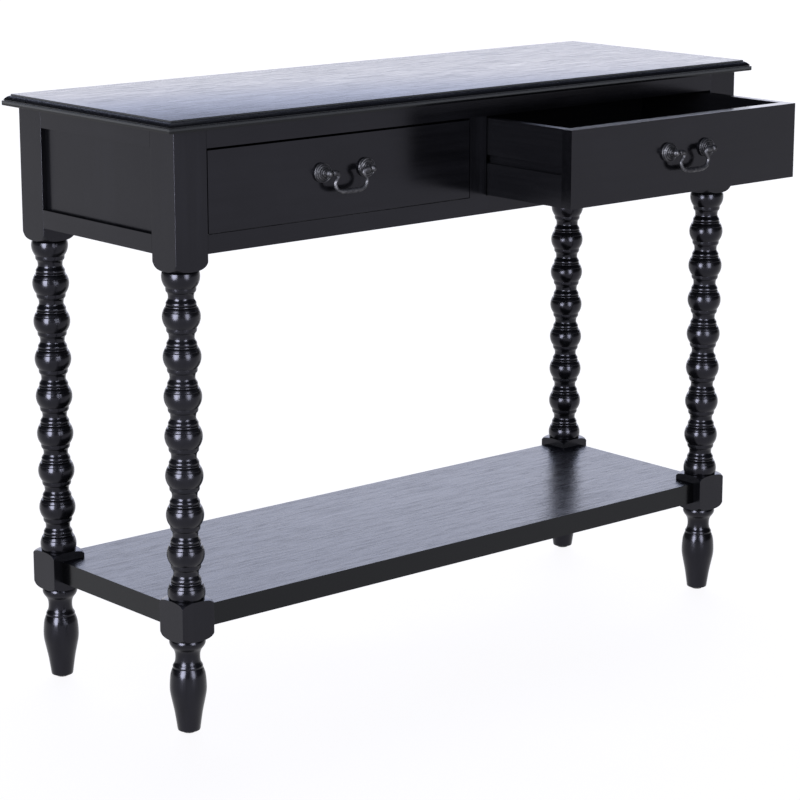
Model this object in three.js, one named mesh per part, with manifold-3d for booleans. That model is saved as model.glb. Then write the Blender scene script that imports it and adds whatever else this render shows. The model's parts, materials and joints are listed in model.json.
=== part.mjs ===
// A console table with bobbin-turned legs, a shelf and two drawers with bail pulls.
// Millimetres. X runs along the table, the drawers open towards -Y and Z is up.
import * as THREE from 'three';
import { mergeVertices } from 'three/addons/utils/BufferGeometryUtils.js';
import Module from 'manifold-3d';

const wasm = await Module();
wasm.setup();

// ---- driving dimensions -------------------------------------------------------------------

// Legs: the axes stand on a rectangle, and each leg is turned from a square blank.
const LEG_SPACING_X = 956;
const LEG_SPACING_Y = 292;
const POST = 50;
const GLIDE_HEIGHT = 3;
const GLIDE_RADIUS = 9;
const GLIDE_EASE = 1;
const GLIDE_SIDES = 12;
const TURNING_SIDES = 24;

// Top: how far its edge stands past the posts.
const TABLE_HEIGHT = 800;
const TOP_THICKNESS = 15;
const TOP_OVERHANG_END = 18;
const TOP_OVERHANG_FRONT = 16.5;
const TOP_OVERHANG_BACK = 12.5;

// Case: the frame of rails between the posts.
const CASE_BOTTOM = 628;
const OPENING_BOTTOM = 652;
const OPENING_TOP = 760;
const RAIL_THICKNESS = 22;
const STILE_WIDTH = 29.5;
const PANEL_THICKNESS = 12;
const PANEL_RECESS = 7;
const BACK_THICKNESS = 12;
const BACK_RECESS = 6;

// Shelf: set in from the outer faces of the lower leg blocks.
const SHELF_TOP = 170;
const SHELF_THICKNESS = 30;
const SHELF_INSET = 13.5;

// Drawers: boxes whose side grooves ride on wooden runners.
const DRAWER_SIDE_GAP = 1.25;
const DRAWER_BOTTOM_GAP = 1;
const DRAWER_TOP_GAP = 3;
const DRAWER_FRONT_THICKNESS = 18;
const DRAWER_SIDE_THICKNESS = 12;
const DRAWER_SIDE_SETBACK = 0.75;
const DRAWER_BOX_DEPTH = 280;
const DRAWER_BOTTOM_THICKNESS = 5;
const DRAWER_BOTTOM_RAISE = 7;
const GROOVE_BOTTOM = 696;
const GROOVE_HEIGHT = 12;
const GROOVE_DEPTH = 7;
const RUNNER_CLEARANCE = 0.5;
const RUNNER_END_PLAY = 1;
const RIGHT_DRAWER_OPEN = 162;

// Pulls: a bail swinging between two ball-headed posts.
const PULL_HEIGHT = 712;
const PULL_SPACING = 73;
const PULL_STANDOFF = 15;
const ROSETTE_RADIUS = 12.7;
const BALL_RADIUS = 4.8;
const STEM_RADIUS = 2.6;
const BAIL_PIN_RADIUS = 1.6;
const BAIL_PIN_BORE = 1.9;
const BAIL_DROP = 25.4;
const BAIL_BAR_RADIUS = 3.7;
const BAIL_SIDES = 10;
const BAIL_RINGS_PER_SPAN = 2;
const SCREW_RADIUS = 2;
const SCREW_HEAD_RADIUS = 4.2;
const SCREW_HEAD_HEIGHT = 2.4;
const SCREW_SIDES = 10;
const SCREW_POINT = 2;
const SCREW_CROWN = 1;
const BORE_CLEARANCE = 0.3;

// Corner blocks: they brace the posts and hold the top down with one screw each.
const BLOCK_THICKNESS = 20;
const BLOCK_REACH = 45;
const BLOCK_TOE_AT_END = 12;
const BLOCK_TOE_AT_RAIL = 4;
const TOP_SCREW_FROM_POST = 13.5;
const TOP_SCREW_FROM_MIDDLE = { front: 2, back: 4 };
const TOP_SCREW_BITE = 9;

// How far a cutting solid runs past the face that it opens.
const OVERCUT = 1;

// ---- worked out from them -----------------------------------------------------------------

const postCentreX = LEG_SPACING_X / 2;
const postCentreY = LEG_SPACING_Y / 2;
const outerX = postCentreX + POST / 2;
const outerY = postCentreY + POST / 2;
const innerX = postCentreX - POST / 2;
const innerY = postCentreY - POST / 2;
const topUnderside = TABLE_HEIGHT - TOP_THICKNESS;
const topFront = -outerY - TOP_OVERHANG_FRONT;
const topBack = outerY + TOP_OVERHANG_BACK;
const railBackY = -outerY + RAIL_THICKNESS;
const backPanelFront = outerY - BACK_RECESS - BACK_THICKNESS;
const endRailInnerX = outerX - RAIL_THICKNESS;
const drawerBackY = -outerY + DRAWER_FRONT_THICKNESS + DRAWER_BOX_DEPTH;
const runnerWidth = DRAWER_SIDE_GAP + DRAWER_SIDE_SETBACK + GROOVE_DEPTH - RUNNER_END_PLAY;
// The table stands with the middle of its box, open drawer included, on the origin.
const restFront = -outerY - RIGHT_DRAWER_OPEN - PULL_STANDOFF - BALL_RADIUS;
const centreShiftY = Math.round(-(restFront + topBack)) / 2;

// ---- materials ----------------------------------------------------------------------------

const blackPaint = new THREE.MeshStandardMaterial({ color: 0x17171a, roughness: 0.38 });
const grainedPaint = new THREE.MeshStandardMaterial({ color: 0x1b1b20, roughness: 0.3 });
const drawerPaint = new THREE.MeshStandardMaterial({ color: 0x101013, roughness: 0.6 });
const pewter = new THREE.MeshStandardMaterial({ color: 0x2c2c2e, roughness: 0.35, metalness: 0.9 });
const steel = new THREE.MeshStandardMaterial({ color: 0x8a8a88, roughness: 0.4, metalness: 1 });
const nylon = new THREE.MeshStandardMaterial({ color: 0x0b0b0b, roughness: 0.7 });

// ---- solids -------------------------------------------------------------------------------

const table = new THREE.Group();

// A closed three.js geometry as a solid that can be cut and joined.
function solidOf(geometry) {
  const bare = geometry.clone();
  bare.deleteAttribute('normal');
  bare.deleteAttribute('uv');
  const merged = mergeVertices(bare, 1e-4);
  const vertProperties = merged.attributes.position.array;
  const triVerts = Uint32Array.from(merged.index.array);
  return new wasm.Manifold(new wasm.Mesh({ numProp: 3, vertProperties, triVerts }));
}

function geometryOf(solid) {
  const mesh = solid.getMesh();
  const geometry = new THREE.BufferGeometry();
  geometry.setAttribute('position', new THREE.BufferAttribute(mesh.vertProperties, 3));
  geometry.setIndex(new THREE.BufferAttribute(mesh.triVerts, 1));
  geometry.computeVertexNormals();
  return geometry;
}

function addMesh(name, geometry, material, parent = table) {
  const mesh = new THREE.Mesh(geometry, material);
  mesh.name = name;
  parent.add(mesh);
  return mesh;
}

// A box from its lowest corner to its highest one.
function boxGeometry([x0, y0, z0], [x1, y1, z1]) {
  const geometry = new THREE.BoxGeometry(x1 - x0, y1 - y0, z1 - z0);
  return geometry.translate((x0 + x1) / 2, (y0 + y1) / 2, (z0 + z1) / 2);
}

function addBoard(name, low, high, material = blackPaint, parent = table) {
  return addMesh(name, boxGeometry(low, high), material, parent);
}

// A solid of revolution about Z, from [radius, height] pairs that start and end on the axis.
function turned(profile, sides) {
  const points = profile.map(([radius, height]) => new THREE.Vector2(radius, height));
  return new THREE.LatheGeometry(points, sides).rotateX(Math.PI / 2);
}

// The same turned about a line that runs from the drawer front towards the user.
function turnedForward(profile, sides) {
  return turned(profile, sides).rotateX(Math.PI / 2);
}

// A quarter ellipse from one [radius, height] pair to another, bulging away from the axis.
function quarterRound(from, to, steps) {
  const points = [];
  for (let i = 0; i <= steps; i++) {
    const angle = (Math.PI / 2) * (i / steps);
    const radius = to[0] + (from[0] - to[0]) * Math.cos(angle);
    const height = from[1] + (to[1] - from[1]) * Math.sin(angle);
    points.push([radius, height]);
  }
  return points;
}

// A closed outline extruded along X (axis 'x') or along Y (axis 'y'), centred on the origin.
function extrudedAlong(axis, outline, length) {
  const shape = new THREE.Shape(outline.map(([across, up]) => new THREE.Vector2(across, up)));
  const geometry = new THREE.ExtrudeGeometry(shape, { depth: length, bevelEnabled: false });
  geometry.translate(0, 0, -length / 2).rotateX(Math.PI / 2);
  return axis === 'x' ? geometry.rotateZ(Math.PI / 2) : geometry;
}

// ---- legs ---------------------------------------------------------------------------------

const CORNER_RADIUS = POST * Math.SQRT1_2 + OVERCUT / 2;
const SHOULDER_RADIUS = 22;
const NECK_RADIUS = 16.2;
const COLLAR_RADIUS = 19.3;
const BOBBIN_RADIUS = 24.4;
const BOBBIN_PITCH = 51.4;
const BOBBIN_COUNT = 9;
const FIRST_BOBBIN = 600;
const UPPER_BLOCK_BOTTOM = 620.5;
const UPPER_SHOULDER_END = 607.5;
const LOWER_BLOCK_TOP = 174;
const LOWER_SHOULDER_TOP = 181;
const LOWER_BLOCK_BOTTOM = 137;
const LOWER_SHOULDER_END = 127.5;

// The turned vase foot, from the glide up to the block.
function footProfile() {
  return [
    [0, GLIDE_HEIGHT],
    [14.2, GLIDE_HEIGHT],
    [15.1, 4.2],
    [18.5, 29],
    [21.7, 44],
    [23.8, 57],
    [23.6, 68],
    [22.6, 80],
    [19.2, 89],
    [16.3, 99],
    [16.3, 106],
    [20, 115],
    [23.8, 123],
    [SHOULDER_RADIUS, LOWER_SHOULDER_END],
  ];
}

// One bobbin, from its lower ledge up to its collar. Heights are from its widest line.
const BOBBIN_SECTION = [
  [COLLAR_RADIUS, -15.6],
  [BOBBIN_RADIUS - 1.5, -8],
  [BOBBIN_RADIUS, 0],
  [BOBBIN_RADIUS - 1.5, 8],
  [COLLAR_RADIUS + 0.9, 12],
  [COLLAR_RADIUS, 17.4],
];
const NECK_ABOVE = 25.5;

// The bobbins from the lowest, which sits on the block, to the highest, cut by the post.
function bobbinProfile() {
  const points = [];
  for (let i = BOBBIN_COUNT - 1; i >= 0; i--) {
    const height = FIRST_BOBBIN - i * BOBBIN_PITCH;
    const isLowest = i === BOBBIN_COUNT - 1;
    const isHighest = i === 0;
    for (const [radius, offset] of BOBBIN_SECTION) {
      if (isLowest && offset < 0) continue;
      if (isHighest && offset > 0) continue;
      points.push([radius, height + offset]);
    }
    if (!isHighest) points.push([NECK_RADIUS, height + NECK_ABOVE]);
  }
  return points;
}

// The lathe's envelope: it leaves the square blocks alone and rounds their shoulders.
function legEnvelope() {
  return [
    ...footProfile(),
    ...quarterRound([CORNER_RADIUS, LOWER_BLOCK_BOTTOM], [SHOULDER_RADIUS, LOWER_SHOULDER_END], 3)
      .reverse()
      .slice(1),
    ...quarterRound([CORNER_RADIUS, LOWER_BLOCK_TOP], [SHOULDER_RADIUS, LOWER_SHOULDER_TOP], 2),
    ...bobbinProfile(),
    ...quarterRound([CORNER_RADIUS, UPPER_BLOCK_BOTTOM], [SHOULDER_RADIUS, UPPER_SHOULDER_END], 3)
      .reverse(),
    [CORNER_RADIUS, topUnderside],
    [0, topUnderside],
  ];
}

function legGeometry() {
  const half = POST / 2;
  const blank = solidOf(boxGeometry([-half, -half, GLIDE_HEIGHT], [half, half, topUnderside]));
  return geometryOf(blank.intersect(solidOf(turned(legEnvelope(), TURNING_SIDES))));
}

function glideGeometry() {
  const rim = GLIDE_RADIUS;
  const ease = GLIDE_EASE;
  const profile = [[0, 0], [rim - ease, 0], [rim, ease], [rim, GLIDE_HEIGHT], [0, GLIDE_HEIGHT]];
  return turned(profile, GLIDE_SIDES);
}

const corners = [
  { side: 'left', end: 'front', x: -1, y: -1 },
  { side: 'right', end: 'front', x: 1, y: -1 },
  { side: 'left', end: 'back', x: -1, y: 1 },
  { side: 'right', end: 'back', x: 1, y: 1 },
];

function addLegs() {
  const leg = legGeometry();
  const glide = glideGeometry();
  for (const { side, end, x, y } of corners) {
    const stand = new THREE.Group();
    stand.position.set(x * postCentreX, y * postCentreY, 0);
    addMesh(`${end}_${side}_leg`, leg, blackPaint, stand);
    addMesh(`${end}_${side}_glide`, glide, nylon, stand);
    table.add(stand);
  }
}

// ---- top ----------------------------------------------------------------------------------

const EDGE_STEP_DROP = 2;
const EDGE_STEP_IN = 8.8;
const EDGE_ROUND_BOTTOM = 9;
const EDGE_ROUND_OUT = 0.8;
const EDGE_STEP_LEDGE = 0.8;
const EDGE_BAND_DROP = 0.6;
const EDGE_ROUND_STEPS = 4;

// The moulded edge as [inset, depth below the top face]: a small step, a quarter round, a band.
function edgeMoulding() {
  const points = [[EDGE_STEP_IN, 0]];
  const roundIn = EDGE_STEP_IN - EDGE_STEP_LEDGE;
  for (let i = 0; i <= EDGE_ROUND_STEPS; i++) {
    const angle = (Math.PI / 2) * (i / EDGE_ROUND_STEPS);
    const inset = roundIn - (roundIn - EDGE_ROUND_OUT) * Math.sin(angle);
    const depth = EDGE_ROUND_BOTTOM - (EDGE_ROUND_BOTTOM - EDGE_STEP_DROP) * Math.cos(angle);
    points.push([inset, depth]);
  }
  points.push([0, EDGE_ROUND_BOTTOM + EDGE_BAND_DROP], [0, TOP_THICKNESS]);
  return points;
}

// The board's outline seen along one side: both moulded edges between two low corners.
function topOutline(low, high) {
  const edge = edgeMoulding();
  const left = edge.map(([inset, depth]) => [low + inset, TABLE_HEIGHT - depth]);
  const right = edge.map(([inset, depth]) => [high - inset, TABLE_HEIGHT - depth]);
  return [...left.reverse(), ...right];
}

// Where the top screws stand: near the middle of each corner block.
function topScrewPlace({ end, x, y }) {
  const railFace = y < 0 ? -railBackY : backPanelFront;
  const middle = (innerY + railFace) / 2;
  return [x * (innerX - TOP_SCREW_FROM_POST), y * (middle - TOP_SCREW_FROM_MIDDLE[end])];
}

// A screw's clearance hole, open at both ends.
function screwBore(bottom, top) {
  const radius = SCREW_RADIUS + BORE_CLEARANCE;
  const low = bottom - OVERCUT;
  const high = top + OVERCUT;
  return turned([[0, low], [radius, low], [radius, high], [0, high]], SCREW_SIDES);
}

function addTop() {
  const endOutline = topOutline(-outerX - TOP_OVERHANG_END, outerX + TOP_OVERHANG_END);
  const sideOutline = topOutline(topFront, topBack);
  const longest = 2 * (outerX + outerY);
  const along = solidOf(extrudedAlong('y', endOutline, longest));
  const across = solidOf(extrudedAlong('x', sideOutline, longest));
  let board = along.intersect(across);
  for (const corner of corners) {
    const [x, y] = topScrewPlace(corner);
    const bore = screwBore(topUnderside, topUnderside + TOP_SCREW_BITE);
    board = board.subtract(solidOf(bore.translate(x, y, 0)));
  }
  addMesh('table_top', geometryOf(board), grainedPaint);
}

// ---- case ---------------------------------------------------------------------------------

function addFrontRails() {
  const front = -outerY;
  addBoard('front_top_rail', [-innerX, front, OPENING_TOP], [innerX, railBackY, topUnderside]);
  addBoard('front_bottom_rail', [-innerX, front, CASE_BOTTOM], [innerX, railBackY, OPENING_BOTTOM]);
  const half = STILE_WIDTH / 2;
  addBoard('centre_stile', [-half, front, OPENING_BOTTOM], [half, railBackY, OPENING_TOP]);
}

function addEnds() {
  for (const [side, sign] of [['left', -1], ['right', 1]]) {
    const spanX = (near, far) => [near * sign, far * sign].sort((a, b) => a - b);
    const [x0, x1] = spanX(endRailInnerX, outerX);
    const [p0, p1] = spanX(outerX - PANEL_RECESS - PANEL_THICKNESS, outerX - PANEL_RECESS);
    addBoard(`${side}_end_top_rail`, [x0, -innerY, OPENING_TOP], [x1, innerY, topUnderside]);
    addBoard(`${side}_end_bottom_rail`, [x0, -innerY, CASE_BOTTOM], [x1, innerY, OPENING_BOTTOM]);
    addBoard(`${side}_end_panel`, [p0, -innerY, OPENING_BOTTOM], [p1, innerY, OPENING_TOP]);
  }
}

const CENTRE_RAIL_BOTTOM = 680;
const CENTRE_RAIL_TOP = 725;

function addBackAndCentreRail() {
  const back = backPanelFront + BACK_THICKNESS;
  addBoard('back_panel', [-innerX, backPanelFront, CASE_BOTTOM], [innerX, back, topUnderside]);
  const half = STILE_WIDTH / 2;
  const low = [-half, railBackY, CENTRE_RAIL_BOTTOM];
  addBoard('centre_rail', low, [half, backPanelFront, CENTRE_RAIL_TOP]);
}

// A five-sided block in the corner between a post, the end rail and the front rail or back panel.
function cornerBlockGeometry({ x, y }) {
  const railFace = y < 0 ? -railBackY : backPanelFront;
  const outline = [
    [innerX, railFace],
    [innerX - BLOCK_REACH, railFace],
    [innerX - BLOCK_REACH, innerY + BLOCK_TOE_AT_RAIL],
    [endRailInnerX - BLOCK_TOE_AT_END, innerY - BLOCK_REACH],
    [endRailInnerX, innerY - BLOCK_REACH],
    [endRailInnerX, innerY],
    [innerX, innerY],
  ];
  const points = outline.map(([px, py]) => new THREE.Vector2(px * x, py * y));
  const depth = BLOCK_THICKNESS;
  const block = new THREE.ExtrudeGeometry(new THREE.Shape(points), { depth, bevelEnabled: false });
  return block.translate(0, 0, topUnderside - depth);
}

function addCornerBlocks() {
  const blockBottom = topUnderside - BLOCK_THICKNESS;
  const headBottom = blockBottom - SCREW_HEAD_HEIGHT;
  const screwTop = topUnderside + TOP_SCREW_BITE;
  const screwProfile = [
    [0, headBottom],
    [SCREW_HEAD_RADIUS - SCREW_CROWN, headBottom],
    [SCREW_HEAD_RADIUS, blockBottom],
    [SCREW_RADIUS, blockBottom],
    [SCREW_RADIUS, screwTop - SCREW_POINT],
    [0, screwTop],
  ];
  for (const corner of corners) {
    const place = `${corner.end}_${corner.side}`;
    const [x, y] = topScrewPlace(corner);
    const bore = screwBore(blockBottom, topUnderside).translate(x, y, 0);
    const block = solidOf(cornerBlockGeometry(corner)).subtract(solidOf(bore));
    addMesh(`${place}_corner_block`, geometryOf(block), drawerPaint);
    addMesh(`${place}_top_screw`, turned(screwProfile, SCREW_SIDES), steel).position.set(x, y, 0);
  }
}

// ---- shelf --------------------------------------------------------------------------------

function addShelf() {
  const halfX = outerX - SHELF_INSET;
  const halfY = outerY - SHELF_INSET;
  const quarter = [[halfX, innerY], [innerX, innerY], [innerX, halfY]];
  const outline = [
    ...quarter,
    ...quarter.map(([x, y]) => [-x, y]).reverse(),
    ...quarter.map(([x, y]) => [-x, -y]),
    ...quarter.map(([x, y]) => [x, -y]).reverse(),
  ];
  const shape = new THREE.Shape(outline.map(([x, y]) => new THREE.Vector2(x, y)));
  const depth = SHELF_THICKNESS;
  const geometry = new THREE.ExtrudeGeometry(shape, { depth, bevelEnabled: false });
  addMesh('shelf', geometry.translate(0, 0, SHELF_TOP - depth), grainedPaint);
}

// ---- pulls --------------------------------------------------------------------------------

const ROSETTE_HEIGHT = 8.6;
const ROSETTE_BORE = STEM_RADIUS + BORE_CLEARANCE;
const ROSETTE_PROFILE = [
  [ROSETTE_BORE, 0],
  [ROSETTE_RADIUS, 0],
  [ROSETTE_RADIUS, 4.4],
  [ROSETTE_RADIUS - 1.2, 5.8],
  [ROSETTE_RADIUS - 4.4, 6.6],
  [ROSETTE_BORE + 2, ROSETTE_HEIGHT],
  [ROSETTE_BORE, ROSETTE_HEIGHT],
  [ROSETTE_BORE, 0],
];
const ROSETTE_SIDES = 20;
const PULL_SCREW_BITE = 7;
const PULL_SCREW_BORE = SCREW_RADIUS + 0.2;
const PULL_SCREW_BORE_END = PULL_SCREW_BITE + 0.5;
const POST_SIDES = 12;
const PIN_BORE_SIDES = 8;

// A post's stem and ball, hollow at the drawer end for its screw and cross-bored for the bail.
function postGeometry() {
  const ball = [140, 122, 90, 53].map((degrees) => {
    const angle = (degrees * Math.PI) / 180;
    return [BALL_RADIUS * Math.sin(angle), PULL_STANDOFF + BALL_RADIUS * Math.cos(angle)];
  });
  const profile = [
    [0, PULL_SCREW_BORE_END],
    [PULL_SCREW_BORE, PULL_SCREW_BORE_END],
    [PULL_SCREW_BORE, 0],
    [STEM_RADIUS, 0],
    [STEM_RADIUS, ball[0][1]],
    ...ball.slice(1),
    [0, PULL_STANDOFF + BALL_RADIUS],
  ];
  const length = 4 * BALL_RADIUS;
  const bore = new THREE.CylinderGeometry(BAIL_PIN_BORE, BAIL_PIN_BORE, length, PIN_BORE_SIDES);
  bore.rotateZ(Math.PI / 2).translate(0, -PULL_STANDOFF, 0);
  return geometryOf(solidOf(turnedForward(profile, POST_SIDES)).subtract(solidOf(bore)));
}

// Half of the bail as [distance inside the post's axis, drop below it, radius]: the pin in the
// post's ball, the thick knuckle beside it, the swan neck, and the swelling bar.
const BAIL_HALF = [
  [-2.5, 0, BAIL_PIN_RADIUS],
  [5.1, 0, BAIL_PIN_RADIUS],
  [5.4, 0, 3.7],
  [8.2, 0, 3.9],
  [11.3, 0.2, 3.5],
  [14, 1.2, 2.9],
  [15.3, 3.5, 2.6],
  [14.4, 6.4, 2.4],
  [12.1, 9.6, 2.3],
  [10.4, 12.7, 2.3],
  [10.3, 15.8, 2.3],
  [11.7, 19.4, 2.5],
  [14.5, 22.5, 2.8],
  [18.6, 24.4, 3.1],
  [24, 25.2, 3.4],
  [30, BAIL_DROP, 3.6],
];

// A closed tube through rings of equal vertex counts, capped at both ends.
function tubeGeometry(rings) {
  const sides = rings[0].length;
  const index = [];
  for (let ring = 0; ring < rings.length - 1; ring++) {
    for (let side = 0; side < sides; side++) {
      const here = ring * sides + side;
      const beside = ring * sides + ((side + 1) % sides);
      index.push(here, beside, here + sides, beside, beside + sides, here + sides);
    }
  }
  const last = (rings.length - 1) * sides;
  for (let side = 1; side < sides - 1; side++) {
    index.push(0, side + 1, side, last, last + side, last + side + 1);
  }
  const geometry = new THREE.BufferGeometry().setFromPoints(rings.flat());
  geometry.setIndex(index);
  geometry.computeVertexNormals();
  return geometry;
}

function bailGeometry() {
  const postX = PULL_SPACING / 2;
  const right = BAIL_HALF.map(([inwards, drop, radius]) => [postX - inwards, -drop, radius]);
  const left = right.map(([x, z, radius]) => [-x, z, radius]);
  const spine = [...left, [0, -BAIL_DROP, BAIL_BAR_RADIUS], ...right.reverse()];
  const curve = new THREE.CatmullRomCurve3(spine.map(([x, z]) => new THREE.Vector3(x, 0, z)));
  const spans = spine.length - 1;
  const rings = [];
  for (let i = 0; i <= spans * BAIL_RINGS_PER_SPAN; i++) {
    const place = i / BAIL_RINGS_PER_SPAN;
    const before = Math.min(Math.floor(place), spans - 1);
    const radius = THREE.MathUtils.lerp(spine[before][2], spine[before + 1][2], place - before);
    const centre = curve.getPoint(place / spans);
    const along = curve.getTangent(place / spans);
    const across = new THREE.Vector3(along.z, 0, -along.x);
    rings.push(ringAround(centre, across, new THREE.Vector3(0, 1, 0), radius));
  }
  return tubeGeometry(rings);
}

function ringAround(centre, across, forward, radius) {
  return Array.from({ length: BAIL_SIDES }, (_, side) => {
    const angle = (2 * Math.PI * side) / BAIL_SIDES;
    const point = centre.clone().addScaledVector(across, radius * Math.cos(angle));
    return point.addScaledVector(forward, radius * Math.sin(angle));
  });
}

function pullScrewGeometry() {
  const headTop = DRAWER_FRONT_THICKNESS + SCREW_HEAD_HEIGHT;
  const profile = [
    [0, -headTop],
    [SCREW_HEAD_RADIUS - SCREW_CROWN, -headTop],
    [SCREW_HEAD_RADIUS, -DRAWER_FRONT_THICKNESS],
    [SCREW_RADIUS, -DRAWER_FRONT_THICKNESS],
    [SCREW_RADIUS, PULL_SCREW_BITE - SCREW_POINT / 2],
    [0, PULL_SCREW_BITE],
  ];
  return turnedForward(profile, SCREW_SIDES);
}

function addPull(drawerName, drawer, centreX) {
  const pull = new THREE.Group();
  pull.position.set(centreX, -outerY, PULL_HEIGHT);
  const rosette = turnedForward(ROSETTE_PROFILE, ROSETTE_SIDES);
  const post = postGeometry();
  const screw = pullScrewGeometry();
  for (const [side, sign] of [['left', -1], ['right', 1]]) {
    const x = (sign * PULL_SPACING) / 2;
    addMesh(`${drawerName}_pull_${side}_rosette`, rosette, pewter, pull).position.x = x;
    addMesh(`${drawerName}_pull_${side}_post`, post, pewter, pull).position.x = x;
    addMesh(`${drawerName}_pull_${side}_screw`, screw, steel, pull).position.x = x;
  }
  const bail = addMesh(`${drawerName}_pull_bail`, bailGeometry(), pewter, pull);
  bail.position.y = -PULL_STANDOFF;
  drawer.add(pull);
}

// ---- drawers ------------------------------------------------------------------------------

function drawerFrontGeometry(low, high, centreX) {
  let board = solidOf(boxGeometry(low, high));
  for (const sign of [-1, 1]) {
    const radius = SCREW_RADIUS + BORE_CLEARANCE;
    const length = 2 * DRAWER_FRONT_THICKNESS;
    const bore = new THREE.CylinderGeometry(radius, radius, length, SCREW_SIDES);
    const x = centreX + (sign * PULL_SPACING) / 2;
    bore.translate(x, -outerY + DRAWER_FRONT_THICKNESS / 2, PULL_HEIGHT);
    board = board.subtract(solidOf(bore));
  }
  return geometryOf(board);
}

// A side board with the groove that its runner fills, cut from end to end.
function drawerSideGeometry(low, high, outerFace) {
  const board = solidOf(boxGeometry(low, high));
  const reach = GROOVE_DEPTH;
  const grooveLow = [outerFace - reach, low[1] - OVERCUT, GROOVE_BOTTOM];
  const grooveHigh = [outerFace + reach, high[1] + OVERCUT, GROOVE_BOTTOM + GROOVE_HEIGHT];
  return geometryOf(board.subtract(solidOf(boxGeometry(grooveLow, grooveHigh))));
}

function addDrawer(name, openingLeft, openingRight, open) {
  const drawer = new THREE.Group();
  drawer.position.y = -open;
  table.add(drawer);
  const left = openingLeft + DRAWER_SIDE_GAP;
  const right = openingRight - DRAWER_SIDE_GAP;
  const bottom = OPENING_BOTTOM + DRAWER_BOTTOM_GAP;
  const top = OPENING_TOP - DRAWER_TOP_GAP;
  const centreX = (left + right) / 2;
  const frontBack = -outerY + DRAWER_FRONT_THICKNESS;
  const front = drawerFrontGeometry([left, -outerY, bottom], [right, frontBack, top], centreX);
  addMesh(`${name}_front`, front, blackPaint, drawer);

  const sideLeft = left + DRAWER_SIDE_SETBACK;
  const sideRight = right - DRAWER_SIDE_SETBACK;
  const innerLeft = sideLeft + DRAWER_SIDE_THICKNESS;
  const innerRight = sideRight - DRAWER_SIDE_THICKNESS;
  const leftLow = [sideLeft, frontBack, bottom];
  const leftBoard = drawerSideGeometry(leftLow, [innerLeft, drawerBackY, top], sideLeft);
  addMesh(`${name}_left_side`, leftBoard, drawerPaint, drawer);
  const rightLow = [innerRight, frontBack, bottom];
  const rightBoard = drawerSideGeometry(rightLow, [sideRight, drawerBackY, top], sideRight);
  addMesh(`${name}_right_side`, rightBoard, drawerPaint, drawer);

  const backFront = drawerBackY - DRAWER_SIDE_THICKNESS;
  const floorTop = bottom + DRAWER_BOTTOM_RAISE + DRAWER_BOTTOM_THICKNESS;
  const backLow = [innerLeft, backFront, floorTop];
  addBoard(`${name}_back`, backLow, [innerRight, drawerBackY, top], drawerPaint, drawer);
  const floorLow = [innerLeft, frontBack, bottom + DRAWER_BOTTOM_RAISE];
  addBoard(`${name}_bottom`, floorLow, [innerRight, drawerBackY, floorTop], drawerPaint, drawer);
  addPull(name, drawer, centreX);
}

function addRunner(name, mountFace, sign) {
  const bottom = GROOVE_BOTTOM + RUNNER_CLEARANCE;
  const top = GROOVE_BOTTOM + GROOVE_HEIGHT - RUNNER_CLEARANCE;
  const faces = [mountFace, mountFace + sign * runnerWidth].sort((a, b) => a - b);
  addBoard(name, [faces[0], railBackY, bottom], [faces[1], backPanelFront, top], drawerPaint);
}

const STOP_WIDTH = 30;
const STOP_GAP = 1;

function addStop(name, centreX) {
  const low = [centreX - STOP_WIDTH / 2, drawerBackY + STOP_GAP, GROOVE_BOTTOM];
  const high = [centreX + STOP_WIDTH / 2, backPanelFront, GROOVE_BOTTOM + GROOVE_HEIGHT * 2];
  addBoard(name, low, high, drawerPaint);
}

function addDrawers() {
  const stile = STILE_WIDTH / 2;
  addDrawer('left_drawer', -innerX, -stile, 0);
  addDrawer('right_drawer', stile, innerX, RIGHT_DRAWER_OPEN);
  addRunner('left_drawer_left_runner', -innerX, 1);
  addRunner('left_drawer_right_runner', -stile, -1);
  addRunner('right_drawer_left_runner', stile, 1);
  addRunner('right_drawer_right_runner', innerX, -1);
  addStop('left_drawer_stop', -(innerX + stile) / 2);
  addStop('right_drawer_stop', (innerX + stile) / 2);
}

// ---- the table ----------------------------------------------------------------------------

addLegs();
addTop();
addFrontRails();
addEnds();
addBackAndCentreRail();
addCornerBlocks();
addShelf();
addDrawers();
table.position.y = centreShiftY;

export default table;
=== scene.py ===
import json
import math

import bpy
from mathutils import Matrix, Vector


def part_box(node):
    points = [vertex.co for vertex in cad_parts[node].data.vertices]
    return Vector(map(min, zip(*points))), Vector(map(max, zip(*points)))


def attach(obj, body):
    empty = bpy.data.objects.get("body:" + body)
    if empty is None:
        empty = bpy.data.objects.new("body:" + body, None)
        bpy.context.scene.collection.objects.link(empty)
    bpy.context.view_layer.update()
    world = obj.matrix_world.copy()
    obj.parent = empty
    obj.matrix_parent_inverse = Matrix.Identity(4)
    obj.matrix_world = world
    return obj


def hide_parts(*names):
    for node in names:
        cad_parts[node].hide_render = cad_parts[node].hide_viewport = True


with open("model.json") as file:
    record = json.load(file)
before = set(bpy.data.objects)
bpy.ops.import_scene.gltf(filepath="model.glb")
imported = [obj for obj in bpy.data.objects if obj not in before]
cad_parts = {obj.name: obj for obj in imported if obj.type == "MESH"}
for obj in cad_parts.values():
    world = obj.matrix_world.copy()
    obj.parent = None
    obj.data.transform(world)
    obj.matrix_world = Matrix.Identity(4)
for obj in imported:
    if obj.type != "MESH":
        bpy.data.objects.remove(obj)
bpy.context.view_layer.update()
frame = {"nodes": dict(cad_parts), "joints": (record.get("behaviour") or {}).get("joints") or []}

# Looks for the console table: finely turned legs, a moulded top, cast pulls, eased boards and
# painted-wood, metal and nylon materials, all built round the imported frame. Blender's own values
# are metres. The values below are millimetres and degrees, except where a comment says otherwise.

MM = 0.001
MICRON = 0.000001

# ---- driving dimensions ---------------------------------------------------------------------

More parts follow.
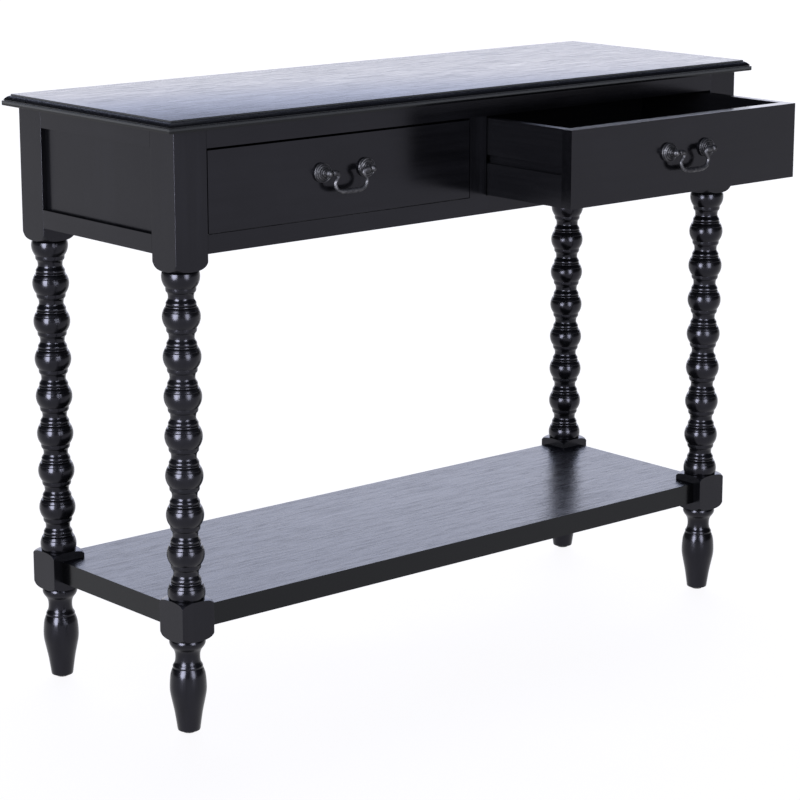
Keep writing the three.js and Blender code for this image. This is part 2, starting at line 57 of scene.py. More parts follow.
# Camera, as seen from the table's middle. Azimuth 0 looks at the drawer fronts.
VIEW_AZIMUTH = -40.8
VIEW_ELEVATION = 13.4
VIEW_DISTANCE = 3870
VIEW_AIM_HEIGHT = 339
VIEW_AIM_RIGHT = 9
LENS = 122.6
SENSOR_WIDTH = 36

# Legs: heights above the floor, radii from the leg's axis. The blocks keep the square blank.
POST_EDGE_ROUND = 0.5
UPPER_BLOCK_BOTTOM = 620.5
UPPER_SHOULDER_END = 607.5
UPPER_SHOULDER_RADIUS = 21.6
LOWER_BLOCK_TOP = 174
LOWER_SHOULDER_TOP = 181
LOWER_BLOCK_BOTTOM = 137
LOWER_SHOULDER_END = 127.5
LOWER_SHOULDER_RADIUS = 22
EVEN_ANGLES = range(-40, 41, 5)
CORNER_STEPS = 4
LEAST_ROW_GAP = 0.6

# Bobbins: heights above each one's widest line, which the highest has at FIRST_BOBBIN.
FIRST_BOBBIN = 600
BOBBIN_PITCH = 51.4
BOBBIN_COUNT = 9
BOBBIN_RADIUS = 24.4
BOBBIN_CURVE = 22
NECK_RADIUS = 16.4
NECK_OFFSET = BOBBIN_PITCH / 2
BALL_BOTTOM = -13.8
BALL_STEP = 1.6
BALL_TOP = 11.6
GROOVE_HEIGHT = 7.6
GROOVE_HALF_WIDTH = 0.55
GROOVE_DEPTH = 0.4

# Moulded edge of the top, as distances in from its outer face and down from its top face.
EDGE_FLAT_END = 8.8
EDGE_FLAT_EASE = 0.5
EDGE_FILLET = 2
EDGE_SLOPE_TOP = (8.1, 2.1)
EDGE_SLOPE_BOTTOM = (1.5, 7.6)
EDGE_SLOPE_CROWN = 0.5
EDGE_SLOPE_STEPS = 8
EDGE_GROOVE_INSET = 2.3
EDGE_GROOVE_TOP = 7.8
EDGE_GROOVE_BOTTOM = 8.4
EDGE_BAND_EASE = 0.8

# Edges of new pieces that stay sharp, and how wide the boards' edges are eased.
SHARP_ABOVE_ANGLE = 32
BOARD_EASE = 0.9
DRAWER_FRONT_EASE = 1.5
SHELF_EASE = 1.3
DRAWER_BOX_EASE = 0.5
GLIDE_EASE = 0.4
EASE_SEGMENTS = 3
EASED_ABOVE_ANGLE = 40

# Pulls and screws.
TURNED_SIDES = 40
PULL_BALL_STEPS = 14
BAIL_SIDES = 18
BAIL_STEPS = 5
SCREW_SIDES = 24
SCREW_HEAD_RADIUS = 4.0
SCREW_SHANK_RADIUS = 1.9
RECESS_HALF_WIDTH = 0.4
RECESS_HALF_LENGTH = 2.2
RECESS_DEPTH = 1.3
RECESS_OVERCUT = 1

# Wood finishes: linear colours, and roughness from glossiest to dullest by the grain's axis.
PAINT_IOR = 1.34
PAINT_TINT = (0.84, 0.83, 1.0, 1.0)
PAINT_COLOURS = ((0.0008, 0.0008, 0.001), (0.0016, 0.0016, 0.002))
PAINT_ROUGHNESS = {"X": (0.155, 0.215), "Y": (0.16, 0.22), "Z": (0.21, 0.27)}
GRAIN_IOR = 1.31
GRAIN_TINT = (0.9, 0.93, 1.0, 1.0)
GRAIN_COLOURS = ((0.0022, 0.0023, 0.0035), (0.006, 0.0062, 0.0095))
GRAIN_SIDE_COLOUR = (0.0011, 0.0011, 0.0014)
PORE_COLOUR = (0.001, 0.001, 0.0014)
STAIN_COLOURS = ((0.0012, 0.0012, 0.0015), (0.0019, 0.0019, 0.0022))

# Softboxes: metres, degrees to the right of the view, and watts per square metre per steradian.
LIGHT_COLOUR = (0.9, 0.93, 1.0)
SOFTBOX_DISTANCE = 3.0
SOFTBOX_HEIGHT = 2.6
LEFT_SOFTBOX = {"angle": -33.5, "width": 1.35, "radiance": 34}
RIGHT_SOFTBOX = {"angle": 32.5, "width": 1.2, "radiance": 18}

# Panels for the top and the shelf, in the same units: a ring open on its far side, and one above.
PANEL_COUNT = 7
PANEL_STEP = 40
PANEL_DISTANCE = 6
PANEL_HEIGHT = 3.0
PANEL_RADIANCE = 2.0
TOP_PANEL_HEIGHT = 4.0
TOP_PANEL_SIDE = 3.2

# Sky: radiance, with each change spread between two cosines of the angle from its direction.
FAR_RADIANCE = 2.05
NEAR_RADIANCE = 0.06
FAR_EDGE = (0.68, 0.88)
ZENITH_RADIANCE = 0.35
ZENITH_EDGE = (0.8, 0.92)
LOW_TINT = (0.86, 0.865, 0.96)
HIGH_TINT = (1.05, 1.15, 1.55)
TINT_EDGE = (0.15, 0.4)

# Floor, in metres.
FLOOR_RADIUS = 30
FLOOR_SIDES = 64
FLOOR_COLOURS = ((0.14, 0.14, 0.145), (0.16, 0.16, 0.165))
FLOOR_GLOW_COLOUR = (0.985, 0.98, 1.0, 1.0)
FLOOR_GLOW = 0.96
FLOOR_SPECULAR_LEVEL = 0.1

# ---- worked out from the frame --------------------------------------------------------------

LEG_LOW, LEG_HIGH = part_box("front_left_leg")
POST_HALF = (LEG_HIGH.x - LEG_LOW.x) / 2 / MM

AXES = "XYZ"
SIDES = ("left", "right")
ENDS = ("front", "back")
DRAWERS = ("left_drawer", "right_drawer")
FORWARD = Vector((0, -1, 0))
UP = Vector((0, 0, 1))


def lerp(low, high, t):
    return low + (high - low) * t


# ---- materials ------------------------------------------------------------------------------


class Nodes:
    """A node tree, with short names for the nodes used here."""

    def __init__(self, tree):
        self.tree = tree

    def node(self, kind, **settings):
        made = self.tree.nodes.new(kind)
        for key, value in settings.items():
            setattr(made, key, value)
        return made

    def feed(self, socket, value):
        if isinstance(value, bpy.types.NodeSocket):
            self.tree.links.new(value, socket)
        else:
            socket.default_value = value

    def remap(self, value, low, high, new_low=0.0, new_high=1.0):
        """The value, taken smoothly from between low and high to between the new two."""
        made = self.node("ShaderNodeMapRange", interpolation_type="SMOOTHSTEP")
        self.feed(made.inputs["Value"], value)
        made.inputs["From Min"].default_value = low
        made.inputs["From Max"].default_value = high
        made.inputs["To Min"].default_value = new_low
        made.inputs["To Max"].default_value = new_high
        return made.outputs["Result"]

    def math(self, operation, first, second):
        made = self.node("ShaderNodeMath", operation=operation)
        self.feed(made.inputs[0], first)
        self.feed(made.inputs[1], second)
        return made.outputs[0]

    def blend(self, factor, first, second):
        """A colour between two, each a node's output or (red, green, blue)."""
        made = self.node("ShaderNodeMix", data_type="RGBA")
        self.feed(made.inputs["Factor"], factor)
        self.feed(made.inputs["A"], (*first, 1.0) if isinstance(first, tuple) else first)
        self.feed(made.inputs["B"], (*second, 1.0) if isinstance(second, tuple) else second)
        return made.outputs["Result"]


class Finish(Nodes):
    """A material. Noise scales are per metre, and bumps are in micrometres."""

    def __init__(self, name):
        self.material = bpy.data.materials.new(name)
        self.material.use_nodes = True
        super().__init__(self.material.node_tree)
        self.shader = self.tree.nodes["Principled BSDF"]
        self.place = self.node("ShaderNodeTexCoord").outputs["Object"]

    def coat(self, ior, tint):
        """How strongly, and in what colour, the surface mirrors its surroundings."""
        self.shader.inputs["IOR"].default_value = ior
        self.shader.inputs["Specular Tint"].default_value = tint

    def stretched(self, axis, along, across):
        """Object coordinates scaled by along on the grain's axis and by across on the others."""
        mapping = self.node("ShaderNodeMapping")
        self.feed(mapping.inputs["Vector"], self.place)
        scale = [across] * 3
        scale[AXES.index(axis)] = along
        mapping.inputs["Scale"].default_value = scale
        return mapping.outputs["Vector"]

    def noise(self, vector, scale=1.0, detail=2.0, roughness=0.5):
        made = self.node("ShaderNodeTexNoise")
        self.feed(made.inputs["Vector"], vector)
        made.inputs["Scale"].default_value = scale
        made.inputs["Detail"].default_value = detail
        made.inputs["Roughness"].default_value = roughness
        return made.outputs["Fac"]

    def upward(self):
        """1 on faces that look up, 0 on upright ones and those that look down."""
        normal = self.node("ShaderNodeSeparateXYZ")
        self.feed(normal.inputs["Vector"], self.node("ShaderNodeNewGeometry").outputs["True Normal"])
        return self.remap(normal.outputs["Z"], 0.5, 0.9)

    def bump(self, height, microns, over=None):
        """A bump as deep as height says, over an earlier one if there is one."""
        made = self.node("ShaderNodeBump")
        self.feed(made.inputs["Height"], height)
        made.inputs["Distance"].default_value = microns * MICRON
        made.inputs["Strength"].default_value = 1.0
        if over is not None:
            self.feed(made.inputs["Normal"], over)
        return made.outputs["Normal"]

    def surface(self, colour, roughness, normal):
        self.feed(self.shader.inputs["Base Color"], colour)
        self.feed(self.shader.inputs["Roughness"], roughness)
        self.feed(self.shader.inputs["Normal"], normal)
        return self.material


def smooth_paint(axis):
    """Black paint, rubbed smooth over close-grained wood whose grain runs along axis."""
    paint = Finish(f"black_paint_{axis}")
    paint.coat(PAINT_IOR, PAINT_TINT)
    streaks = paint.noise(paint.stretched(axis, along=4, across=110), detail=4, roughness=0.6)
    clouds = paint.noise(paint.place, scale=9, detail=3)
    peel = paint.noise(paint.place, scale=420, detail=1)
    tone = paint.math("MULTIPLY", streaks, clouds)
    colour = paint.blend(paint.remap(tone, 0.15, 0.4), *PAINT_COLOURS)
    roughness = paint.remap(streaks, 0.3, 0.7, *PAINT_ROUGHNESS[axis])
    grain = paint.bump(streaks, microns=12)
    return paint.surface(colour, roughness, paint.bump(peel, microns=4, over=grain))


def growth_rings(wood, axis):
    """1 on the thin lines of the figure, where a slow noise passes whole numbers."""
    figure = wood.noise(wood.stretched(axis, along=0.9, across=6), detail=1)
    from_whole = wood.math("PINGPONG", wood.math("MULTIPLY", figure, 7.0), 0.5)
    return wood.remap(from_whole, 0.0, 0.07, 1.0, 0.0)


def open_pores(wood, axis, bands, upward):
    """1 inside the short pores, which crowd together where the bands are high."""
    dashes = wood.noise(wood.stretched(axis, along=38, across=900), detail=3, roughness=0.6)
    crowded = wood.math("ADD", dashes, wood.math("MULTIPLY", bands, 0.3))
    return wood.math("MULTIPLY", wood.remap(crowded, 0.62, 0.8), upward)


def grain_roughness(wood, axis, bands, streaks, pores, upward):
    """Satin, glossier along the growth rings and duller on the raised streaks and in the pores."""
    satin = wood.remap(bands, 0.3, 0.7, 0.215, 0.185)
    ringed = wood.math("SUBTRACT", satin, wood.math("MULTIPLY", growth_rings(wood, axis), 0.03))
    duller = wood.math("MULTIPLY", upward, 0.1)
    on_streaks = wood.math("MULTIPLY", wood.remap(streaks, 0.4, 0.66), duller)
    in_pores = wood.math("MULTIPLY", pores, 0.1)
    return wood.math("ADD", ringed, wood.math("ADD", on_streaks, in_pores))


def open_grain(axis):
    """Thin black paint over open-pored wood, with the grain felt on faces that look up."""
    wood = Finish(f"black_open_grain_{axis}")
    wood.coat(GRAIN_IOR, GRAIN_TINT)
    upward = wood.upward()
    bands = wood.noise(wood.stretched(axis, along=1.5, across=18), detail=3, roughness=0.5)
    streaks = wood.noise(wood.stretched(axis, along=12, across=170), detail=4, roughness=0.7)
    fibres = wood.noise(wood.stretched(axis, along=24, across=420), detail=4, roughness=0.7)
    pores = open_pores(wood, axis, bands, upward)
    grain = wood.blend(wood.remap(fibres, 0.3, 0.7), *GRAIN_COLOURS)
    colour = wood.blend(pores, wood.blend(upward, GRAIN_SIDE_COLOUR, grain), PORE_COLOUR)
    roughness = grain_roughness(wood, axis, bands, streaks, pores, upward)
    wide = wood.bump(wood.math("MULTIPLY", streaks, upward), microns=130)
    fine = wood.bump(wood.math("MULTIPLY", fibres, upward), microns=40, over=wide)
    filled = wood.math("SUBTRACT", 1.0, pores)
    return wood.surface(colour, roughness, wood.bump(filled, microns=20, over=fine))


def stained_wood(axis):
    """Black-stained wood of the drawer boxes, runners and blocks: satin, with the grain felt."""
    wood = Finish(f"black_stain_{axis}")
    wood.coat(PAINT_IOR, PAINT_TINT)
    fibres = wood.noise(wood.stretched(axis, along=9, across=260), detail=4, roughness=0.6)
    clouds = wood.noise(wood.stretched(axis, along=2, across=14), detail=2)
    tone = wood.math("MULTIPLY", fibres, clouds)
    colour = wood.blend(wood.remap(tone, 0.15, 0.4), *STAIN_COLOURS)
    roughness = wood.remap(fibres, 0.3, 0.7, 0.25, 0.265)
    return wood.surface(colour, roughness, wood.bump(fibres, microns=5))


def antique_pewter():
    """Blackened cast metal, rubbed back to grey in patches."""
    metal = Finish("antique_pewter")
    metal.shader.inputs["Metallic"].default_value = 1.0
    patina = metal.noise(metal.place, scale=160, detail=4, roughness=0.65)
    pits = metal.noise(metal.place, scale=900, detail=2)
    colour = metal.blend(metal.remap(patina, 0.38, 0.62), (0.027, 0.0265, 0.03), (0.08, 0.079, 0.085))
    roughness = metal.remap(patina, 0.35, 0.7, 0.55, 0.4)
    return metal.surface(colour, roughness, metal.bump(pits, microns=80))


def zinc_plate():
    """Bright zinc on the screws, with the crystals' faint mottle."""
    metal = Finish("zinc_plate")
    metal.shader.inputs["Metallic"].default_value = 1.0
    mottle = metal.noise(metal.place, scale=600, detail=3)
    colour = metal.blend(metal.remap(mottle, 0.35, 0.65), (0.42, 0.41, 0.38), (0.58, 0.57, 0.54))
    roughness = metal.remap(mottle, 0.3, 0.7, 0.28, 0.42)
    return metal.surface(colour, roughness, metal.bump(mottle, microns=40))


def black_nylon():
    """Moulded nylon of the glides, scuffed where it slides."""
    nylon = Finish("black_nylon")
    scuffs = nylon.noise(nylon.place, scale=260, detail=4, roughness=0.7)
    colour = nylon.blend(nylon.remap(scuffs, 0.4, 0.7), (0.006, 0.006, 0.006), (0.02, 0.02, 0.02))
    roughness = nylon.remap(scuffs, 0.3, 0.7, 0.45, 0.7)
    return nylon.surface(colour, roughness, nylon.bump(scuffs, microns=100))


PAINT = {axis: smooth_paint(axis) for axis in AXES}
STAIN = {axis: stained_wood(axis) for axis in AXES}
GRAIN = open_grain("X")
PEWTER = antique_pewter()
ZINC = zinc_plate()
NYLON = black_nylon()


# ---- meshes ---------------------------------------------------------------------------------


def add_piece(name, vertices, faces, material, body, replaced):
    """A new mesh piece in place of a CAD node: smooth, with its sharp edges kept."""
    mesh = bpy.data.meshes.new(name)
    mesh.from_pydata(vertices, [], faces)
    mesh.validate()
    for polygon in mesh.polygons:
        polygon.use_smooth = True
    mesh.set_sharp_from_angle(angle=math.radians(SHARP_ABOVE_ANGLE))
    mesh.materials.append(material)
    piece = bpy.data.objects.new(name, mesh)
    bpy.context.scene.collection.objects.link(piece)
    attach(piece, body)
    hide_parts(replaced)
    return piece


def grid_faces(rows, columns):
    """Quads between rows of a closed-round grid, whose vertices run row by row."""
    faces = []
    for row in range(rows - 1):
        for column in range(columns):
            following = (column + 1) % columns
            low, high = row * columns, (row + 1) * columns
            faces.append((low + column, low + following, high + following, high + column))
    return faces


def capped(rows, columns):
    """The same, closed by one polygon at each end."""
    last = (rows - 1) * columns
    ends = [tuple(reversed(range(columns))), tuple(range(last, last + columns))]
    return grid_faces(rows, columns) + ends


def swelling(low, high, start, end, swell, steps):
    """A convex ring as (radius, height), from radius start at low to radius end at high."""
    return [
        (lerp(start, end, i / steps) + swell * math.sin(math.pi * i / steps), lerp(low, high, i / steps))
        for i in range(steps + 1)
    ]


def spline_point(four, t):
    """The point at share t between the middle two of four points, on a Catmull-Rom curve."""
    weights = (
        (-t + 2 * t**2 - t**3) / 2,
        (2 - 5 * t**2 + 3 * t**3) / 2,
        (t + 4 * t**2 - 3 * t**3) / 2,
        (t**3 - t**2) / 2,
    )
    return tuple(sum(weight * value for weight, value in zip(weights, values)) for values in zip(*four))


def through(points, steps):
    """A smooth curve through the points, with steps pieces between neighbours."""
    padded = [points[0], *points, points[-1]]
    fours = zip(padded, padded[1:], padded[2:], padded[3:])
    return [spline_point(four, i / steps) for four in fours for i in range(steps)] + [points[-1]]


# ---- legs -----------------------------------------------------------------------------------
# Outlines are (radius, height) from the bottom up.


def ball_radius(offset):
    """The bobbin's radius at a height from its widest line."""
    return BOBBIN_RADIUS - BOBBIN_CURVE + math.sqrt(BOBBIN_CURVE**2 - offset**2)


def below_ball():
    """From the neck up: a cove, a small round lip and the plain collar under the ball."""
    cove = through([(NECK_RADIUS, -NECK_OFFSET), (16.6, -23.2), (17.2, -21.4), (18.0, -20.0)], 3)
    return [*cove, (18.5, -19.5), (18.95, -18.9), (19.25, -18.0), (19.4, -16.8), (19.48, -15.0)]


def ball():
    """The ball, with a groove that cuts a narrow ring from its top."""
    offsets = [BALL_BOTTOM]
    while offsets[-1] + BALL_STEP < GROOVE_HEIGHT - LEAST_ROW_GAP:
        offsets.append(offsets[-1] + BALL_STEP)
    below, above = GROOVE_HEIGHT - GROOVE_HALF_WIDTH, GROOVE_HEIGHT + GROOVE_HALF_WIDTH
    groove = (ball_radius(GROOVE_HEIGHT) - GROOVE_DEPTH, GROOVE_HEIGHT)
    lower_part = [(ball_radius(z), z) for z in (*offsets, below)]
    ring = [(ball_radius(z), z) for z in (above, 9.2, 10.3, 11.1, BALL_TOP)]
    return [*lower_part, groove, *ring]


def above_ball():
    """A ring, an ovolo and a cove that leads into the neck."""
    ring = swelling(low=11.9, high=15.3, start=19.3, end=19.1, swell=0.8, steps=5)
    ovolo = swelling(low=15.8, high=20.8, start=19.2, end=17.8, swell=0.75, steps=6)
    cove = through([(17.8, 20.8), (16.9, 22.3), (16.35, 23.9), (NECK_RADIUS, NECK_OFFSET)], 2)
    return [*ring, (18.8, 15.55), *ovolo, *cove[1:-1]]


def bobbin(height, is_lowest, is_highest):
    """One bobbin whose widest line is at height. The end ones are cut by the blocks' shoulders."""
    if is_lowest:
        section = [(r, z) for r, z in ball() if height + z > LOWER_SHOULDER_TOP] + above_ball()
    elif is_highest:
        limit = UPPER_SHOULDER_END - LEAST_ROW_GAP
        section = below_ball() + [(r, z) for r, z in ball() if height + z < limit]
    else:
        section = [*below_ball(), *ball(), *above_ball()]
    return [(radius, height + offset) for radius, offset in section]


def bobbins():
    """All bobbins from the lowest, which sits on the block, to the highest, under the post."""
    points = []
    for i in reversed(range(BOBBIN_COUNT)):
        points += bobbin(FIRST_BOBBIN - i * BOBBIN_PITCH, i == BOBBIN_COUNT - 1, i == 0)
    return points


def foot(bottom):
    """The vase foot, from the glide up to the block's lower shoulder."""
    sole = [(0.4, bottom), (13.7, bottom), (14.5, bottom + 0.5)]
    belly = [(14.9, 4.8), (16.3, 14.7), (18.5, 29), (21.6, 44), (23.5, 54), (24, 62), (23.6, 71)]
    vase = through([*belly, (22.5, 80), (20.4, 86.4)], 4)
    collar = swelling(low=88.5, high=92.4, start=19.4, end=18.7, swell=0.5, steps=5)
    waist = [(18.6, 92.6), (17, 95.4), (16.2, 99.5), (16.1, 104), (16.6, 108.5)]
    neck = through([*waist, (18.1, 112.6), (20.6, 116)], 3)
    ring = swelling(low=117, high=LOWER_SHOULDER_END, start=21.4, end=22.2, swell=1.7, steps=8)
    return [*sole, *vase, (19.45, 88.1), *collar, *neck[1:], *ring]


def turning_angles():
    """Angles round the leg: even steps, and closer ones round the four rounded corners."""
    straight = math.degrees(math.atan((POST_HALF - POST_EDGE_ROUND) / POST_HALF))
    corner = [lerp(straight, 90 - straight, i / CORNER_STEPS) for i in range(CORNER_STEPS + 1)]
    quarter = [*EVEN_ANGLES, *corner]
    return [math.radians(angle + 90 * k) for k in range(4) for angle in quarter]


def square_radius(angle):
    """How far the rounded square blank reaches at an angle."""
    folded = abs((math.degrees(angle) + 45) % 90 - 45)
    cosine, sine = math.cos(math.radians(folded)), math.sin(math.radians(folded))
    inner = POST_HALF - POST_EDGE_ROUND
    if POST_HALF * sine / cosine <= inner:
        return POST_HALF / cosine
    reach = inner * (cosine + sine)
    return reach + math.sqrt(max(reach**2 - 2 * inner**2 + POST_EDGE_ROUND**2, 0))


def shoulder(corner_height, end_height, end_radius, steps):
    """Rows from the block's face to the turning, each a function of angle to (radius, height)."""
    corner_radius = POST_HALF * math.sqrt(2)

    def row(share):
        def point(angle):
            start = math.acos((square_radius(angle) - end_radius) / (corner_radius - end_radius))
            turn = lerp(start, math.pi / 2, share)
            radius = end_radius + (corner_radius - end_radius) * math.cos(turn)
            return radius, lerp(corner_height, end_height, math.sin(turn))

        return point

    return [row(i / steps) for i in range(steps + 1)]


def turned_row(radius, height):
    return lambda angle: (radius, height)


def square_row(height):
    return lambda angle: (square_radius(angle), height)


def leg_rows(bottom, top):
    """The whole leg's rows from the sole to the top."""
    lower = shoulder(LOWER_BLOCK_BOTTOM, LOWER_SHOULDER_END, LOWER_SHOULDER_RADIUS, steps=6)
    upper = shoulder(LOWER_BLOCK_TOP, LOWER_SHOULDER_TOP, LOWER_SHOULDER_RADIUS, steps=5)
    post = shoulder(UPPER_BLOCK_BOTTOM, UPPER_SHOULDER_END, UPPER_SHOULDER_RADIUS, steps=7)
    return [
        *[turned_row(*point) for point in foot(bottom)],
        *reversed(lower),
        *upper,
        *[turned_row(*point) for point in bobbins()],
        *reversed(post),
        square_row(top),
    ]


def keep_flats(piece):
    """Keeps flats flat next to their rounded edges."""
    modifier = piece.modifiers.new("flats", "WEIGHTED_NORMAL")
    modifier.keep_sharp = True


def add_leg(name):
    low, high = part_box(name)
    centre = (low + high) / 2
    angles = turning_angles()
    rows = leg_rows(low.z / MM, high.z / MM)
    vertices = []
    for row in rows:
        for angle in angles:
            radius, height = row(angle)
            x = centre.x + radius * MM * math.cos(angle)
            y = centre.y + radius * MM * math.sin(angle)
            vertices.append((x, y, height * MM))
    faces = capped(len(rows), len(angles))
    leg = add_piece(f"{name}_turned", vertices, faces, PAINT["Z"], "table", name)
    keep_flats(leg)


# ---- top ------------------------------------------------------------------------------------


def edge_slope():
    """The moulding's broad slope, bowed out a little in its middle."""
    points = []
    for i in range(EDGE_SLOPE_STEPS + 1):
        share = i / EDGE_SLOPE_STEPS
        crown = EDGE_SLOPE_CROWN * math.sin(math.pi * share)
        inset, depth = (lerp(a, b, share) for a, b in zip(EDGE_SLOPE_TOP, EDGE_SLOPE_BOTTOM))
        points.append((inset - crown, depth - crown))
    return points


def edge_profile(thickness):
    """The moulded edge as (inset, depth), from the top face round to the underside."""
    flat, ease = EDGE_FLAT_END, EDGE_FLAT_EASE
    middle = 0.3 * ease  # how far in from both faces the eased corner passes
    fillet = [(flat + ease, 0), (flat + middle, middle), (flat, ease), (flat, EDGE_FILLET)]
    groove = [(EDGE_GROOVE_INSET, EDGE_GROOVE_TOP), (EDGE_GROOVE_INSET, EDGE_GROOVE_BOTTOM)]
    band_top = [(0.7, 8.7), (0.2, 9.0), (0, 9.5)]
    turn = EDGE_BAND_EASE
    band_bottom = [(0, thickness - turn), (0.25, thickness - 0.25), (turn, thickness)]
    # The slope's first point comes twice, so that no smooth shading runs over the ledge's edge.
    return [*fillet, EDGE_SLOPE_TOP, *edge_slope(), *groove, *band_top, *band_bottom]


def add_top():
    low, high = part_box("table_top")
    vertices = []
    profile = edge_profile((high.z - low.z) / MM)
    for inset, depth in reversed(profile):
        x0, x1 = low.x + inset * MM, high.x - inset * MM
        y0, y1 = low.y + inset * MM, high.y - inset * MM
        z = high.z - depth * MM
        vertices += [(x0, y0, z), (x1, y0, z), (x1, y1, z), (x0, y1, z)]
    faces = capped(len(profile), 4)
    return add_piece("moulded_top", vertices, faces, GRAIN, "table", "table_top")


# ---- pulls and screws -----------------------------------------------------------------------


def revolved(profile, sides, centre, forward):
    """A turned solid whose axis runs along forward from centre. The profile is (radius, reach)."""
    side = Vector((1, 0, 0))
    other = forward.cross(side)
    vertices = []
    for radius, reach in profile:
        for i in range(sides):
            angle = 2 * math.pi * i / sides
            around = side * math.cos(angle) + other * math.sin(angle)
            vertices.append(tuple(centre + (around * radius + forward * reach) * MM))
    return vertices, capped(len(profile), sides)


def rosette_profile():
    """A cast back plate: a thick rim, two rings on its face and a hub, with grooves between."""
    side = [(12.7, 0), (12.7, 1.2), (12.3, 1.8), (12.3, 2.3), (12.65, 2.9), (12.65, 4.3)]
    rim = [(12.3, 5.1), (11.6, 5.5), (10.95, 5.2)]
    outer_ring = [(10.6, 4.3), (10.2, 4.5), (9.7, 5.8), (8.9, 6.3), (8.1, 6.0)]
    inner_ring = [(7.7, 4.9), (7.2, 5.1), (6.8, 6.5), (6.1, 7.1), (5.5, 6.8)]
    hub = [(5.2, 5.8), (4.9, 6.1), (4.5, 8.0), (3.8, 8.6), (2.8, 8.6)]
    return [*side, *rim, *outer_ring, *inner_ring, *hub]


def post_profile(standoff, radius):
    """The post: a flared foot, a stem, and the ball at standoff from the drawer, nearly whole."""
    stem = [(2.9, 0), (2.9, 4.6), (3.6, 5.0), (3.5, 6.0), (2.7, 7.2), (2.5, standoff - radius * 0.9)]
    round_part = []
    in_stem = 0.17  # the share of the ball's half circle that the stem hides
    for i in range(1, PULL_BALL_STEPS):
        angle = math.pi * lerp(in_stem, 1, i / PULL_BALL_STEPS)
        round_part.append((radius * math.sin(angle), standoff - radius * math.cos(angle)))
    return [*stem, *round_part, (0.3, standoff + radius)]


# Half of the bail as (distance inside the post's axis, drop below it, radius), and its middle as
# (x, z, radius) from the middle of its axis.
BAIL_HALF = [
    (-2.5, 0, 1.5), (1, 0, 1.5), (4.9, 0, 1.6), (5.4, 0, 3.3), (6.2, 0, 3.9), (8.2, 0, 4.1),
    (10, 0.1, 4.0), (11.8, 0.3, 3.8), (14, 1.2, 3.5), (15.3, 3.5, 3.1), (14.4, 6.4, 2.8),
    (12.1, 9.6, 2.55), (10.4, 12.7, 2.45), (10.3, 15.8, 2.5), (11.7, 19.4, 2.7), (14.5, 22.5, 2.95),
    (18.6, 24.4, 3.2), (24, 25.2, 3.45), (30, 25.4, 3.6),
]
BAIL_MIDDLE = (0, -25.4, 3.6)


def bail_line(half_spacing):
    """(x, z, radius) along the whole bail, from its left pin to its right one."""
    half = [(half_spacing - inwards, -drop, radius) for inwards, drop, radius in BAIL_HALF]
    left = [(-x, z, radius) for x, z, radius in half]
    return through([*left, BAIL_MIDDLE, *reversed(half)], BAIL_STEPS)


def add_bail(name, body, pivot, half_spacing):
    """A round bar along the bail's line, which lies in the plane of its two pins."""
    line = bail_line(half_spacing)
    vertices = []
    for i, (x, z, radius) in enumerate(line):
        before, after = line[max(i - 1, 0)], line[min(i + 1, len(line) - 1)]
        along = Vector((after[0] - before[0], 0, after[1] - before[1])).normalized()
        across = Vector((along.z, 0, -along.x))
        for k in range(BAIL_SIDES):
            angle = 2 * math.pi * k / BAIL_SIDES
            around = across * math.cos(angle) - FORWARD * math.sin(angle)
            vertices.append(tuple(pivot + (Vector((x, 0, z)) + around * radius) * MM))
    faces = capped(len(line), BAIL_SIDES)
    add_piece(f"{name}_forged", vertices, faces, PEWTER, body, name)


def screw_profile(head_height, length):
    """A pan-head screw, from the head's crown to the tip of its shank."""
    radius = SCREW_HEAD_RADIUS
    crown = [(0.3, 0), (radius * 0.45, 0.05), (radius * 0.8, head_height * 0.3)]
    rim = [(radius, head_height * 0.72), (radius, head_height)]
    shank = [(SCREW_SHANK_RADIUS, head_height), (SCREW_SHANK_RADIUS, length - 1.2), (0.4, length)]
    return [*crown, *rim, *shank]


def recess_bar(head_place, inwards, long_way, short_way):
    """A bar across the head, from outside its crown to the recess's depth."""
    corners = []
    for reach in (-RECESS_OVERCUT, RECESS_DEPTH):
        for across, along in ((-1, -1), (1, -1), (1, 1), (-1, 1)):
            offset = short_way * (RECESS_HALF_WIDTH * across) + long_way * (RECESS_HALF_LENGTH * along)
            corners.append(tuple(head_place + (offset + inwards * reach) * MM))
    faces = [(3, 2, 1, 0), (4, 5, 6, 7), (0, 1, 5, 4), (1, 2, 6, 5), (2, 3, 7, 6), (3, 0, 4, 7)]
    mesh = bpy.data.meshes.new("recess")
    mesh.from_pydata(corners, [], faces)
    bar = bpy.data.objects.new("recess", mesh)
    bpy.context.scene.collection.objects.link(bar)
    return bar


def cut_away(piece, cutter):
    """Takes the cutter's shape out of the piece's mesh and deletes the cutter."""
    modifier = piece.modifiers.new("recess", "BOOLEAN")
    modifier.operation = "DIFFERENCE"
    modifier.solver = "EXACT"
    modifier.object = cutter
    graph = bpy.context.evaluated_depsgraph_get()
    cut = bpy.data.meshes.new_from_object(piece.evaluated_get(graph))
    piece.modifiers.clear()
    piece.data = cut
    bpy.data.objects.remove(cutter)


def add_screw(name, body, head_place, inwards, head_height, length):
    """A screw with a cross recess, whose head crowns at head_place and whose shank runs inwards."""
    vertices, faces = revolved(screw_profile(head_height, length), SCREW_SIDES, head_place, inwards)
    screw = add_piece(f"{name}_crossed", vertices, faces, ZINC, body, name)
    bpy.context.view_layer.update()
    side = Vector((1, 0, 0))
    other = inwards.cross(side)
    for long_way, short_way in ((side, other), (other, side)):
        cut_away(screw, recess_bar(head_place, inwards, long_way, short_way))


def add_turned(name, ending, profile, centre, drawer):
    """A rosette or a post, turned on an axis that points out of the drawer."""
    vertices, faces = revolved(profile, TURNED_SIDES, centre, FORWARD)
    add_piece(f"{name}_{ending}", vertices, faces, PEWTER, drawer, name)


